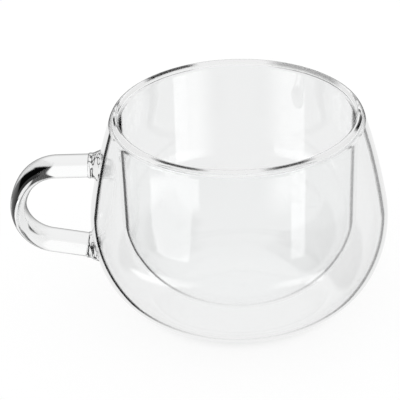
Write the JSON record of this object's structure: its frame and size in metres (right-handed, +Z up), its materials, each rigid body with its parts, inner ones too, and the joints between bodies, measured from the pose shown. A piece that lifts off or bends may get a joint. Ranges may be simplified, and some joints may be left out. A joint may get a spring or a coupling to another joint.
{
  "type": "double walled glass cup",
  "caption": "Pot-bellied double walled clear glass cup with a near-cylindrical inner bowl, a rounded fused rim and a flattened C handle fused on at both ends.",
  "frame": {"origin": "on the cup's axis, in the plane of the flat ring that the cup stands on", "axes": "+Z up along the cup's axis; the handle points along -X; the cup is symmetric about the XZ plane"},
  "size_m": [0.1276, 0.1008, 0.07],
  "materials": {
    "clear_glass": "polished clear borosilicate glass, colourless",
    "solid_glass": "polished solid clear glass, drawn and flattened, colourless",
    "fused_glass": "flame-worked clear glass, slightly rippled"
  },
  "bodies": {
    "root": {"inner_bowl": "clear_glass", "outer_bowl": "clear_glass", "rim_bead": "fused_glass", "handle": "solid_glass", "handle_upper_root": "fused_glass", "handle_lower_root": "fused_glass", "base_seal": "fused_glass"}
  },
  "joints": []
}
